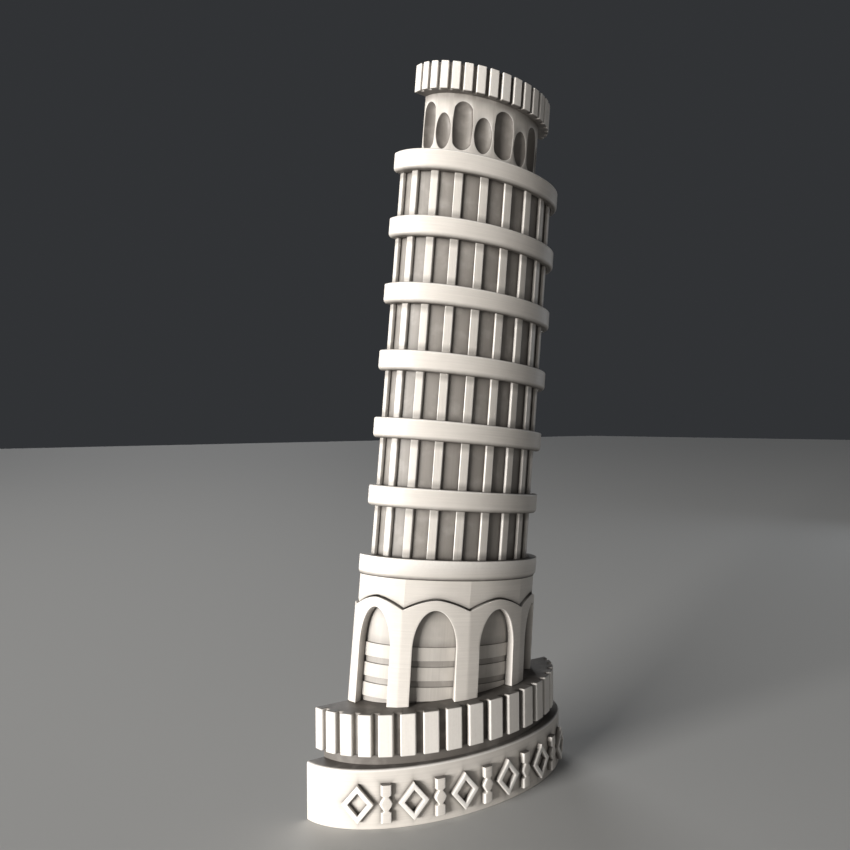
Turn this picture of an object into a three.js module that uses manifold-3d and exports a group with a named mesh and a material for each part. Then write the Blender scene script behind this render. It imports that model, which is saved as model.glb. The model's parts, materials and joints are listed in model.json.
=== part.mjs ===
// Desk model of a leaning bell tower: a half-round relief with a flat back, built up from separate
// castings that seat in one another. Millimetres, +Z up, +X to the right of someone facing the
// relief, the flat back towards +Y. The origin is on the table, under the middle of the plinth.

import * as THREE from "three";
import { mergeVertices } from "three/addons/utils/BufferGeometryUtils.js";
import Module from "manifold-3d";

const wasm = await Module();
wasm.setup();

// ---------------------------------------------------------------- fits between the castings
const seatGap = 0.1; // bedding between two faces that rest on each other
const clearance = 0.3; // round a casting that stands in a recess
const pinClearance = 0.15; // round a locating pin
const recessDepth = 1; // how deep the tower's castings stand in one another

// ---------------------------------------------------------------- base, which stands upright
// Each base plan is part of an ellipse whose centre lies setBack behind the flat back.
const setBack = 2;
const plinth = { halfWidth: 35, projection: 17.5, setBack };
const plinthHeight = 12.7;
const plinthEdge = 0.5; // chamfer of the plinth's top edge
const neckInset = { side: 4.1, front: 1.55 }; // in from the plinth's edge
const neckHeight = 2.2; // the part in sight between plinth and gallery
const neckTenon = 1.5; // how far the neck enters the plinth, and the gallery
const galleryOverhang = { side: 1.95, front: 2 }; // out past the neck
const galleryHeight = 9.05;
const galleryBlocks = { first: 2.45, pitch: 10.36, share: 0.7, slotDepth: 1.3, chamfer: 0.35 };

const neck = {
  halfWidth: plinth.halfWidth - neckInset.side,
  projection: plinth.projection - neckInset.front,
  setBack,
};
const gallery = {
  halfWidth: neck.halfWidth + galleryOverhang.side,
  projection: neck.projection + galleryOverhang.front,
  setBack,
};
const galleryBottom = plinthHeight + neckHeight;
const galleryTop = galleryBottom + galleryHeight;

// ---------------------------------------------------------------- frieze on the plinth
const frieze = { count: 11, height: 8, middle: 5.8, proud: 1.2, stroke: 1, gap: 1.15 };
const lozengeWidth = 6.6;
const balusterWidth = 2.8;
const pin = { radius: 0.4, length: 1.8, inset: 1.1 };

// ---------------------------------------------------------------- tower, which leans to the right
const lean = THREE.MathUtils.degToRad(5.57);
const depthRatio = 0.56; // depth of the relief against a full round

const storeyCount = 6;
const storeyDrumRadius = 20.6;
const firstStoreyHeight = 10.95; // between the cornice below and the cornice above
const storeyHeight = 10.68;
const columns = { first: 1.8, pitch: 18, count: 11, depth: 1.2, width: 2.3, railHeight: 0.7 };
const columnRadius = storeyDrumRadius + columns.depth;

const corniceOverhang = 1.9; // out past the columns
const corniceHeight = 4.7;
const corniceRounding = { bottom: 1, top: 0.5 };
const firstCorniceOverhang = 2.9;
const firstCorniceHeight = 4.4;
const firstCorniceChamfer = { width: 0.5, height: 0.85 };

const coreRadius = storeyDrumRadius + 2.1;
const coreGroove = 0.45; // depth of the grooves between the core's raised bands
const coreBands = { count: 3, bottom: -0.9, height: 3.02, pitch: 4.37 };
const neckRadius = coreRadius - 2.4; // the core's neck, inside the drum
const spigot = { inset: 5.4, depth: 3 }; // under the core, into the gallery
const spigotRadius = coreRadius - spigot.inset;

// The arcade's shell and the drum above it have nine slightly bulging sides that meet in creases.
const facets = { count: 9, firstCrease: 2.8, bulge: 1.3 };
const shellThickness = 2;
const shellRadius = coreRadius + clearance + shellThickness; // out to the creases
const drumInset = 0.7; // how far the drum lies behind the shell
const drumRadius = shellRadius - drumInset;
const batter = 1.3; // how far the shell's foot stands in front of its head
const pilasterWidth = 6;
const arch = {
  halfWidth: shellRadius * Math.sin(Math.PI / facets.count) - pilasterWidth / 2,
  spring: 10.3,
  apex: 19.2,
};
const wave = { valley: arch.apex - 0.1, rise: 2.35, fullness: 1.6, gap: 0.3 }; // the shell's top edge
const waveCrest = wave.valley + wave.rise;
const arcadeHeight = waveCrest + 4.35; // from the gallery up to the first cornice

const bellRadius = 16.6;
const bellHeight = 15.4;
const niches = { count: 9, first: 11.3, sill: 2.1, headroom: 1.75, rim: 0.46 };
const tallExtra = { width: 0.76, height: 2.95 }; // the tall niches against the short ones
const nicheDepth = { tall: 2.4, short: 2.1 };
const nicheSpace = 2 * bellRadius * Math.sin(Math.PI / niches.count / 2); // from middle to middle
const tallNiche = {
  halfWidth: (nicheSpace - niches.rim + tallExtra.width / 2) / 2,
  height: bellHeight - niches.sill - niches.headroom,
  depth: nicheDepth.tall,
};
const shortNiche = {
  halfWidth: (nicheSpace - niches.rim - tallExtra.width / 2) / 2,
  height: tallNiche.height - tallExtra.height,
  depth: nicheDepth.short,
};

const crownOverhang = 3.1; // out past the bell chamber
const crownHeight = 6.65;
const crownBlocks = { first: 5.45, pitch: 10.18, share: 0.715, slotDepth: 0.9, chamfer: 0.25 };

// ---------------------------------------------------------------- fineness of the round faces
const planSteps = 18; // flats along half a turn of the tower
const basePlanSteps = 30;
const facetSteps = 4; // flats along each of the nine sides
const pinSides = 6;

const castStone = new THREE.MeshStandardMaterial({
  color: 0xe0d6ca,
  roughness: 0.5,
  metalness: 0,
});

// ---------------------------------------------------------------- solids
function solidOf(geometry) {
  const bare = geometry.clone();
  bare.deleteAttribute("normal");
  bare.deleteAttribute("uv");
  const merged = mergeVertices(bare, 1e-5);
  return new wasm.Manifold(
    new wasm.Mesh({
      numProp: 3,
      vertProperties: merged.attributes.position.array,
      triVerts: new Uint32Array(merged.index.array),
    }),
  );
}

function geometryOf(solid) {
  const { vertProperties, triVerts } = solid.getMesh();
  return new THREE.BufferGeometry()
    .setAttribute("position", new THREE.BufferAttribute(vertProperties, 3))
    .setIndex(new THREE.BufferAttribute(triVerts, 1));
}

function cast(name, solid, group) {
  const mesh = new THREE.Mesh(geometryOf(solid), castStone);
  mesh.geometry.computeVertexNormals();
  mesh.name = name;
  group.add(mesh);
}

const vec = (x, y) => new THREE.Vector2(x, y);
const steps = (count, from, to) =>
  Array.from({ length: count + 1 }, (_, i) => from + ((to - from) * i) / count);

// ---------------------------------------------------------------- plans
// Sweep runs along a plan from 0 at its left end, over the front, to 180 at its right end.
const towerPlan = (radius) => ({ halfWidth: radius, projection: radius * depthRatio, setBack: 0 });

const grown = (plan, by) => ({
  ...plan,
  halfWidth: plan.halfWidth + by,
  projection: plan.projection + by,
});

function ellipseOf(plan) {
  const deep = plan.projection + plan.setBack;
  const start = Math.asin(plan.setBack / deep);
  return { deep, wide: plan.halfWidth / Math.cos(start), start, sweep: Math.PI - 2 * start };
}

function planPoint(plan, sweep) {
  const { deep, wide, start, sweep: whole } = ellipseOf(plan);
  const angle = start + (whole * sweep) / 180;
  return vec(-wide * Math.cos(angle), plan.setBack - deep * Math.sin(angle));
}

const smoothPlan = (plan, count) => steps(count, 0, 180).map((sweep) => planPoint(plan, sweep));

// A plan with flat-faced blocks between slots. The first and last block run to the flat back.
function blockPlan(plan, { first, pitch, share, slotDepth, chamfer }) {
  const inner = grown(plan, -slotDepth);
  const shoulder = grown(plan, -chamfer);
  const count = Math.floor((180 - first) / pitch) + 1;
  const half = (pitch * share) / 2;
  const bevel = THREE.MathUtils.radToDeg(chamfer / plan.halfWidth);
  const points = [planPoint(plan, 0)];
  for (let i = 0; i < count; i++) {
    const left = first + pitch * i - half;
    const right = first + pitch * i + half;
    if (i > 0)
      points.push(planPoint(inner, left), planPoint(shoulder, left), planPoint(plan, left + bevel));
    if (i < count - 1)
      points.push(
        planPoint(plan, right - bevel),
        planPoint(shoulder, right),
        planPoint(inner, right),
      );
  }
  points.push(planPoint(plan, 180));
  return points;
}

function slab(points, bottom, top) {
  const geometry = new THREE.ExtrudeGeometry(new THREE.Shape(points), {
    depth: top - bottom,
    bevelEnabled: false,
  });
  return solidOf(geometry.translate(0, 0, bottom));
}

// Half of a turned shape, squeezed to the plan's depth. The profile holds [inset, height] pairs,
// the inset measured in from the plan's edge, and runs upwards; it is closed at the middle.
function turned(plan, profile, count = planSteps) {
  const { deep, wide } = ellipseOf(plan);
  const outline = profile.map(([inset, height]) => vec(wide - inset, height));
  outline.unshift(vec(0, profile[0][1]));
  outline.push(vec(0, profile.at(-1)[1]));
  const geometry = new THREE.LatheGeometry(outline, 2 * count)
    .rotateX(Math.PI / 2)
    .scale(1, deep / wide, 1)
    .translate(0, plan.setBack, 0);
  return solidOf(geometry).intersect(frontHalf);
}

const reach = 200; // longer than anything in the model
const frontHalf = solidOf(
  new THREE.BoxGeometry(2 * reach, reach, 2 * reach).translate(0, -reach / 2, 0),
);

// ---------------------------------------------------------------- base
// Moves a flat shape onto the plinth's face: x runs along the face from the sweep angle given,
// y is height, and z stands out from the face.
function wrapped(geometry, angle) {
  const { deep, wide } = ellipseOf(plinth);
  const speed = Math.hypot(wide * Math.sin(angle), deep * Math.cos(angle));
  const place = geometry.attributes.position;
  for (let i = 0; i < place.count; i++) {
    const a = angle + place.getX(i) / speed;
    const out = vec(-Math.cos(a) * deep, -Math.sin(a) * wide).normalize();
    const z = place.getZ(i);
    place.setXYZ(
      i,
      -wide * Math.cos(a) + out.x * z,
      setBack - deep * Math.sin(a) + out.y * z,
      place.getY(i),
    );
  }
  return geometry;
}

function pinSolid(angle, height, radius, from, to) {
  const geometry = new THREE.CylinderGeometry(radius, radius, to - from, pinSides)
    .rotateX(Math.PI / 2)
    .translate(0, height, (from + to) / 2);
  return solidOf(wrapped(geometry, angle));
}

const pinHeights = [-1, 1].map((side) => frieze.middle + side * (frieze.height / 2 - pin.inset));

// Places along the face, so that the motifs and the gaps between them have their true widths.
function friezePlaces() {
  const { deep, wide } = ellipseOf(plinth);
  const widths = Array.from({ length: frieze.count }, (_, i) =>
    i % 2 ? balusterWidth : lozengeWidth,
  );
  const whole = widths.reduce((sum, width) => sum + width + frieze.gap, -frieze.gap);
  const speed = (a) => Math.hypot(wide * Math.sin(a), deep * Math.cos(a));
  const walk = (a, distance) => {
    const count = 100;
    for (let i = 0; i < count; i++) a += distance / count / speed(a);
    return a;
  };
  let angle = walk(Math.PI / 2, -whole / 2);
  return widths.map((width) => {
    const middle = walk(angle, width / 2);
    angle = walk(middle, width / 2 + frieze.gap);
    return middle;
  });
}

// A closed outline at a size, with a point halfway along each side too, so that it can follow the
// curved face.
function bendable(corners, size) {
  return corners.flatMap((corner, i) => {
    const next = corners[(i + 1) % corners.length];
    const middle = corner.clone().lerp(next, 0.5);
    return [corner.clone().multiplyScalar(size), middle.multiplyScalar(size)];
  });
}

function lozengeShape() {
  const [x, y] = [lozengeWidth / 2, frieze.height / 2];
  const inner = 1 - (frieze.stroke * Math.hypot(x, y)) / (x * y);
  const corners = (size) => bendable([vec(x, 0), vec(0, y), vec(-x, 0), vec(0, -y)], size);
  const shape = new THREE.Shape(corners(1));
  shape.holes.push(new THREE.Path(corners(inner).reverse()));
  return shape;
}

// A turned baluster's outline: a foot and a head with a swelling between two waists.
function balusterShape() {
  const half = balusterWidth / 2;
  const waist = frieze.stroke / 2;
  const top = frieze.height / 2;
  const collar = top - 2 * pin.inset;
  const right = [vec(half * 0.8, -top), vec(half * 0.8, -collar), vec(waist, -collar * 0.8)];
  right.push(vec(half * 0.8, -collar * 0.35), vec(half, 0), vec(half * 0.8, collar * 0.35));
  right.push(vec(waist, collar * 0.8), vec(half * 0.8, collar), vec(half * 0.8, top));
  const left = right.map((p) => vec(-p.x, p.y)).reverse();
  return new THREE.Shape([...right, ...left]);
}

const model = new THREE.Group();
model.position.y = plinth.projection / 2;

{
  const socketTop = plinthHeight - neckTenon - seatGap;
  let solid = turned(
    plinth,
    [
      [0, 0],
      [0, plinthHeight - plinthEdge],
      [plinthEdge, plinthHeight],
    ],
    basePlanSteps,
  );
  const neckSeat = smoothPlan(grown(neck, clearance), basePlanSteps);
  solid = solid.subtract(slab(openedAtBack(neckSeat), socketTop, reach));

  const places = friezePlaces();
  places.forEach((angle, i) => {
    const isLozenge = i % 2 === 0;
    const flat = new THREE.ExtrudeGeometry(isLozenge ? lozengeShape() : balusterShape(), {
      depth: frieze.proud,
      bevelEnabled: false,
    });
    let motif = solidOf(wrapped(flat.translate(0, frieze.middle, seatGap), angle));
    for (const height of pinHeights) {
      const tip = -pin.length;
      motif = motif.add(pinSolid(angle, height, pin.radius, tip, frieze.proud / 2));
      solid = solid.subtract(
        pinSolid(angle, height, pin.radius + pinClearance, tip - pinClearance, frieze.proud),
      );
    }
    const number = Math.floor(i / 2) + 1;
    cast((isLozenge ? "frieze_lozenge_" : "frieze_baluster_") + number, motif, model);
  });
  cast("plinth", solid, model);
}

// A cutter's plan that runs on behind the flat back, so that the cut stays open there.
function openedAtBack(points) {
  const [first, last] = [points[0], points.at(-1)];
  return [vec(first.x, reach), ...points, vec(last.x, reach)].reverse();
}

cast(
  "neck_course",
  slab(
    smoothPlan(neck, basePlanSteps),
    plinthHeight - neckTenon,
    plinthHeight + neckHeight + neckTenon,
  ),
  model,
);

// ---------------------------------------------------------------- tower
const tower = new THREE.Group();
tower.position.z = galleryTop;
tower.rotation.y = lean;
model.add(tower);

// Everything below the gallery's top, in the leaning tower's own frame.
const belowGallery = (gap) =>
  solidOf(
    new THREE.BoxGeometry(2 * reach, 2 * reach, reach)
      .translate(0, 0, gap - reach / 2)
      .rotateY(-lean),
  );

{
  const spigotHole = openedAtBack(smoothPlan(towerPlan(spigotRadius + clearance), planSteps));
  const pocket = solidOf(
    geometryOf(slab(spigotHole, -spigot.depth - clearance, reach))
      .rotateY(lean)
      .translate(0, 0, galleryTop),
  );
  const neckSeat = openedAtBack(smoothPlan(grown(neck, clearance), basePlanSteps));
  cast(
    "gallery",
    slab(blockPlan(gallery, galleryBlocks), galleryBottom, galleryTop)
      .subtract(slab(neckSeat, 0, galleryBottom + neckTenon + seatGap))
      .subtract(pocket),
    model,
  );
}

// The sweep at the middle of each facet, all the way round, and how many reach the front half.
const facetPitch = 360 / facets.count;
const facetSweeps = steps(facets.count, 0, facets.count)
  .slice(0, -1)
  .map((i) => facets.firstCrease + facetPitch * (i - 0.5));
const facetsInFront = facetSweeps.filter((sweep) => sweep < 180 + facetPitch / 2).length;

// Below the lowest point of the tower's foot, which the gallery's top cuts at a slant.
const footing = shellRadius * Math.tan(lean) + 1;

// The arcade's solid core, with raised bands that show through the arches.
{
  const shoulder = wave.valley + wave.gap - seatGap;
  const neckStep = coreRadius - neckRadius;
  const profile = [[coreGroove, -footing]];
  for (let i = 0; i < coreBands.count; i++) {
    const low = coreBands.bottom + coreBands.pitch * i;
    const high = low + coreBands.height;
    profile.push([coreGroove, low], [0, low], [0, high], [coreGroove, high]);
  }
  profile.push([coreGroove, shoulder], [neckStep, shoulder]);
  profile.push([neckStep, arcadeHeight + recessDepth - seatGap]);
  const spigotPlan = smoothPlan(towerPlan(spigotRadius), planSteps);
  cast(
    "arcade_core",
    turned(towerPlan(coreRadius), profile)
      .subtract(belowGallery(seatGap))
      .add(slab(spigotPlan, -spigot.depth, coreBands.height)),
    tower,
  );
}

// A prism with the facets' plan, which stands further out at its foot by as much as it leans in.
function facetedPrism(radius, bottom, top, leanIn) {
  const half = radius * Math.sin(Math.PI / facets.count);
  const apothem = radius * Math.cos(Math.PI / facets.count);
  const plan = facetSweeps.flatMap((sweep) => {
    const angle = THREE.MathUtils.degToRad(sweep);
    return steps(facetSteps, -1, 1)
      .slice(0, -1)
      .map((t) => vec(-apothem - facets.bulge * (1 - t * t), -half * t))
      .map((point) => point.rotateAround(vec(0, 0), angle))
      .map((point) => vec(point.x, point.y * depthRatio));
  });
  const geometry = geometryOf(slab(plan, bottom, top));
  const place = geometry.attributes.position;
  const deeper = 1 + leanIn / (radius * depthRatio);
  for (let i = 0; i < place.count; i++)
    if (place.getZ(i) === Math.fround(bottom)) place.setY(i, place.getY(i) * deeper);
  return solidOf(geometry).intersect(frontHalf);
}

// An outline in (along the facet, height), pushed out through the wall of the facet at a sweep.
function throughFacet(shape, sweep) {
  const angle = THREE.MathUtils.degToRad(sweep);
  const along = new THREE.Vector3(Math.sin(angle), -Math.cos(angle), 0);
  const out = new THREE.Vector3(-Math.cos(angle), -Math.sin(angle), 0);
  const geometry = new THREE.ExtrudeGeometry(shape, { depth: 2 * shellRadius, bevelEnabled: false })
    .applyMatrix4(new THREE.Matrix4().makeBasis(along, new THREE.Vector3(0, 0, 1), out))
    .scale(1, depthRatio, 1);
  return solidOf(geometry);
}

function archShape() {
  const { halfWidth, spring, apex } = arch;
  const head = steps(12, 0, Math.PI).map((a) =>
    vec(halfWidth * Math.cos(a), spring + (apex - spring) * Math.sin(a)),
  );
  return new THREE.Shape([vec(-halfWidth, -arcadeHeight), vec(halfWidth, -arcadeHeight), ...head]);
}

// The area on one side of the wavy edge, down or up to a level: a low arc over each facet, a
// little straighter towards the creases than a parabola.
function waveShape(gap, level) {
  const half = shellRadius * Math.sin(Math.PI / facets.count);
  const edge = steps(8, -1, 1).map((t) =>
    vec(half * t, waveCrest + gap - wave.rise * Math.abs(t) ** wave.fullness),
  );
  const past = half * 1.05; // laps over the next facet's cutter, at the valley's height
  const outline = [
    vec(-past, edge[0].y),
    ...edge,
    vec(past, edge[0].y),
    vec(past, level),
    vec(-past, level),
  ];
  return new THREE.Shape(level > waveCrest ? outline : outline.reverse());
}

{
  const coreHole = openedAtBack(smoothPlan(towerPlan(coreRadius + clearance), planSteps));
  const neckHole = openedAtBack(smoothPlan(towerPlan(neckRadius + clearance), planSteps));
  let shell = facetedPrism(shellRadius, -footing, waveCrest + wave.gap, batter)
    .subtract(slab(coreHole, -reach, reach))
    .subtract(belowGallery(seatGap));
  let drum = facetedPrism(drumRadius, wave.valley, arcadeHeight - seatGap, 0).subtract(
    slab(neckHole, -reach, reach),
  );
  for (const sweep of facetSweeps.slice(0, facetsInFront)) {
    shell = shell.subtract(throughFacet(archShape(), sweep));
    shell = shell.subtract(throughFacet(waveShape(0, arcadeHeight), sweep));
    drum = drum.subtract(throughFacet(waveShape(wave.gap, 0), sweep));
  }
  cast("arcade_shell", shell, tower);
  cast("arcade_drum", drum, tower);
}

// A cornice: a half-round slab with a recess below and a recess above, each for what stands in it.
// The edges are [inset, distance from that face] pairs, read upwards.
function cornice(radius, bottom, top, edges, radiusBelow, radiusAbove) {
  const below = radius - radiusBelow - clearance;
  const above = radius - radiusAbove - clearance;
  return turned(towerPlan(radius), [
    [below, bottom + recessDepth],
    [below, bottom],
    ...edges.lower.map(([inset, height]) => [inset, bottom + height]),
    ...edges.upper.map(([inset, height]) => [inset, top - height]),
    [above, top],
    [above, top - recessDepth],
  ]);
}

const quarterRound = (radius, flats) =>
  steps(flats, 0, Math.PI / 2).map((a) => [radius * (1 - Math.sin(a)), radius * (1 - Math.cos(a))]);

const firstCorniceEdges = {
  lower: [
    [firstCorniceChamfer.width, 0],
    [0, firstCorniceChamfer.height],
  ],
  upper: [...quarterRound(corniceRounding.top, 1)].reverse(),
};
const corniceEdges = {
  lower: quarterRound(corniceRounding.bottom, 2),
  upper: [...quarterRound(corniceRounding.top, 1)].reverse(),
};

// Flat-faced columns between a bottom rail and a top rail, which the cornices' recesses hide.
function colonnade(bottom, top) {
  const outer = towerPlan(columnRadius);
  const inner = towerPlan(storeyDrumRadius + clearance);
  const half = THREE.MathUtils.radToDeg(columns.width / 2 / columnRadius);
  const columnSides = Array.from({ length: columns.count }, (_, i) => {
    const middle = columns.first + columns.pitch * i;
    return [Math.max(middle - half, 0), Math.min(middle + half, 180)];
  });
  const strip = (sweeps) => [
    ...sweeps.map((sweep) => planPoint(outer, sweep)),
    ...sweeps.map((sweep) => planPoint(inner, sweep)).reverse(),
  ];
  const rail = strip(columnSides.flat());
  let solid = slab(rail, bottom, bottom + columns.railHeight).add(
    slab(rail, top - columns.railHeight, top),
  );
  for (const sides of columnSides) solid = solid.add(slab(strip(sides), bottom, top));
  return solid;
}

const corniceRadius = columnRadius + corniceOverhang;
let level = arcadeHeight;
cast(
  "cornice_1",
  cornice(
    columnRadius + firstCorniceOverhang,
    level,
    level + firstCorniceHeight,
    firstCorniceEdges,
    neckRadius,
    columnRadius,
  ),
  tower,
);
level += firstCorniceHeight;

for (let storey = 1; storey <= storeyCount; storey++) {
  const height = storey === 1 ? firstStoreyHeight : storeyHeight;
  const bottom = level - recessDepth + seatGap;
  const top = level + height + recessDepth - seatGap;
  const drumPlan = smoothPlan(towerPlan(storeyDrumRadius), planSteps);
  cast("storey_drum_" + storey, slab(drumPlan, bottom, top), tower);
  cast("colonnade_" + storey, colonnade(bottom, top), tower);
  level += height;
  const above = storey === storeyCount ? bellRadius : columnRadius;
  const corniceTop = level + corniceHeight;
  cast(
    "cornice_" + (storey + 1),
    cornice(corniceRadius, level, corniceTop, corniceEdges, columnRadius, above),
    tower,
  );
  level = corniceTop;
}

// The cutter for a niche, a capsule or an egg, set so that it meets the wall at the niche's half
// width and cuts in to its depth.
function scoop(niche, sweep, isTall) {
  const wall = Math.sqrt(bellRadius ** 2 - niche.halfWidth ** 2);
  const sagitta = wall - (bellRadius - niche.depth);
  const radius = (niche.halfWidth ** 2 + sagitta ** 2) / (2 * sagitta);
  const middle = bellRadius - niche.depth + radius;
  const tallness = niche.height / (2 * niche.halfWidth);
  const geometry = isTall
    ? new THREE.CapsuleGeometry(radius, niche.height - 2 * niche.halfWidth, 3, 12)
    : new THREE.SphereGeometry(radius, 12, 8).scale(1, tallness, 1);
  const angle = THREE.MathUtils.degToRad(sweep);
  geometry
    .rotateX(Math.PI / 2)
    .translate(-middle * Math.cos(angle), -middle * Math.sin(angle), 0)
    .translate(0, 0, level + niches.sill + niche.height / 2)
    .scale(1, depthRatio, 1);
  return solidOf(geometry);
}

{
  const wallPlan = smoothPlan(towerPlan(bellRadius), planSteps);
  const bottom = level - recessDepth + seatGap;
  const top = level + bellHeight + recessDepth - seatGap;
  let solid = slab(wallPlan, bottom, top);
  for (let i = 0; i < niches.count; i++) {
    const sweep = niches.first + (180 / niches.count) * i;
    const isTall = i % 2 === 0;
    solid = solid.subtract(scoop(isTall ? tallNiche : shortNiche, sweep, isTall));
  }
  cast("bell_chamber", solid, tower);
  level += bellHeight;
}

{
  const seat = openedAtBack(smoothPlan(towerPlan(bellRadius + clearance), planSteps));
  const crownPlan = blockPlan(towerPlan(bellRadius + crownOverhang), crownBlocks);
  cast(
    "crown",
    slab(crownPlan, level, level + crownHeight).subtract(slab(seat, 0, level + recessDepth)),
    tower,
  );
}

export default model;
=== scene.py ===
import json
import math

import bmesh
import bpy
import numpy as np
from mathutils import Matrix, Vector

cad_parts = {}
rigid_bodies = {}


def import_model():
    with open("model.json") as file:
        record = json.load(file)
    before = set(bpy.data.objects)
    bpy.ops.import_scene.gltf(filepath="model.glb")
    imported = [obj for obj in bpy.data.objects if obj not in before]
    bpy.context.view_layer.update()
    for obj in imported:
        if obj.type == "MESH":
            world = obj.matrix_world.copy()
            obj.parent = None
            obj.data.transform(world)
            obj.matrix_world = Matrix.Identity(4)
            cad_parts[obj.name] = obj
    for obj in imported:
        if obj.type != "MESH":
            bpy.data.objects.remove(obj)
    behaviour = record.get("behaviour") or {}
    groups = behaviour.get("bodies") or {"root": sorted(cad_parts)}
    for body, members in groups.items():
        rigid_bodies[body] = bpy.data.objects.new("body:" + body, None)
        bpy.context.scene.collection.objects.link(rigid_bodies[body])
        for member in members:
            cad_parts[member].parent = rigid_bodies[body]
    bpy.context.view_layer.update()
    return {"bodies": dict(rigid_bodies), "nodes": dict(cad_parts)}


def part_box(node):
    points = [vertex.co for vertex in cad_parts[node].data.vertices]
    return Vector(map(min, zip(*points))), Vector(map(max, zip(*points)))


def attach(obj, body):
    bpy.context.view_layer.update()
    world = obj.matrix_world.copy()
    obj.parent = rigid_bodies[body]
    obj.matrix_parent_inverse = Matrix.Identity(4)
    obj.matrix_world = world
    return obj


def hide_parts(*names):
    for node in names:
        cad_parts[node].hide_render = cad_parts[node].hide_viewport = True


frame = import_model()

bodyName = next(iter(frame["bodies"]))
print("frame loaded:", len(frame["nodes"]), "castings")

# Lengths are in millimetres until a mesh is made.
mm = 0.001
towerLean = math.radians(5.57)  # to the right, about the line where the tower meets the gallery
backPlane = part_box("plinth")[1].y / mm
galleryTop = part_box("gallery")[1].z / mm
leanCos, leanSin = math.cos(towerLean), math.sin(towerLean)


# ---- camera: at the left of the front, level with the middle of the model
camera = {
    "place": (-0.104218, -0.147632, 0.085965),
    "turn": 0.5699,  # radians from straight at the back, towards the right
    "pitch": -0.0045,
    "roll": -0.0074,
    "lens": 33.156,
    "sensor": 36.0,
}


def addItem(name, data):
    # an object in the scene
    item = bpy.data.objects.new(name, data)
    bpy.context.scene.collection.objects.link(item)
    return item


def addAimed(name, data, place, right, up, ahead):
    # sets a camera or a lamp in its place, looking ahead
    axes = Matrix(np.column_stack([right, up, -ahead]).tolist()).to_4x4()
    item = addItem(name, data)
    item.matrix_world = Matrix.Translation(place) @ axes
    return item


def addCamera():
    data = bpy.data.cameras.new("camera")
    data.lens = camera["lens"]
    data.sensor_width = camera["sensor"]
    data.clip_start = 0.01
    data.clip_end = 20
    turn, pitch, roll = camera["turn"], camera["pitch"], camera["roll"]
    ahead = math.cos(pitch) * np.array([math.sin(turn), math.cos(turn), math.tan(pitch)])
    level = np.array([math.cos(turn), -math.sin(turn), 0.0])
    above = np.cross(level, ahead)
    right = math.cos(roll) * level + math.sin(roll) * above
    up = math.cos(roll) * above - math.sin(roll) * level
    bpy.context.scene.camera = addAimed("camera", data, camera["place"], right, up, ahead)


addCamera()
print("camera placed")


# ---- from numpy grids to pieces
def read(items, label, width=1, kind=float):
    # one property of all the items
    values = np.empty(len(items) * width, kind)
    items.foreach_get(label, values)
    return values.reshape(-1, width) if width > 1 else values


def leaned(points):
    # turns the tower's own axes by the lean and sets them on the gallery
    x, y, z = np.moveaxis(points, -1, 0)
    turned = [x * leanCos + z * leanSin, y, z * leanCos - x * leanSin]
    return np.stack(turned, axis=-1) + [0, backPlane, galleryTop]


def upright(points):
    # the way back from leaned, to the tower's own axes
    x, y, z = (points - [0, backPlane, galleryTop]).T
    return np.stack([x * leanCos - z * leanSin, y, x * leanSin + z * leanCos], axis=1)


def onBase(points):
    # from the base's own middle to its place on the back plane
    return points + [0, backPlane, 0]


def towerBox(node):
    # lowest and highest corner of a casting, in the tower's own axes
    points = upright(read(frame["nodes"][node].data.vertices, "co", 3) / mm)
    return points.min(0), points.max(0)


def towerSpan(node):
    # outer radius, bottom and top of a casting of the tower
    low, high = towerBox(node)
    return high[0], low[2], high[2]


drumLow, drumHigh = towerBox("storey_drum_3")
depthRatio = -drumLow[1] / drumHigh[0]  # the tower's half ellipses: depth against half width


def patch(points, wearAndHighlight=0.0, recess=0.0, keep=None):
    # a grid of points with its lighter edges, partly wear and partly painted highlight, and its painted
    # recess shade; keep masks the quads between them
    rows, columns = points.shape[:2]
    index = np.arange(rows * columns).reshape(rows, columns)
    quads = np.stack([index[:-1, :-1], index[:-1, 1:], index[1:, 1:], index[1:, :-1]], axis=-1)
    quads = quads[keep] if keep is not None else quads.reshape(-1, 4)
    spread = lambda value: np.broadcast_to(value, (rows, columns)).reshape(-1)
    return points.reshape(-1, 3), quads, spread(wearAndHighlight), spread(recess)


weld = 2e-4  # closer than this, two points are one
cutWeld = weld / 4  # nearer than this to a cutting plane, a point lies on it
footGap = 0.1  # between the arcade's foot and the gallery
towerUp = (-leanSin, 0.0, leanCos)  # the true vertical, in the tower's own axes
backCut = ((0, 0, 0), (0, 1, 0))
galleryCut = (tuple(footGap * part for part in towerUp), tuple(-part for part in towerUp))


def closeHoles(work):
    # fills each open rim with one face
    rim = [edge for edge in work.edges if edge.is_boundary]
    if rim:
        bmesh.ops.holes_fill(work, edges=rim, sides=0)


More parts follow.
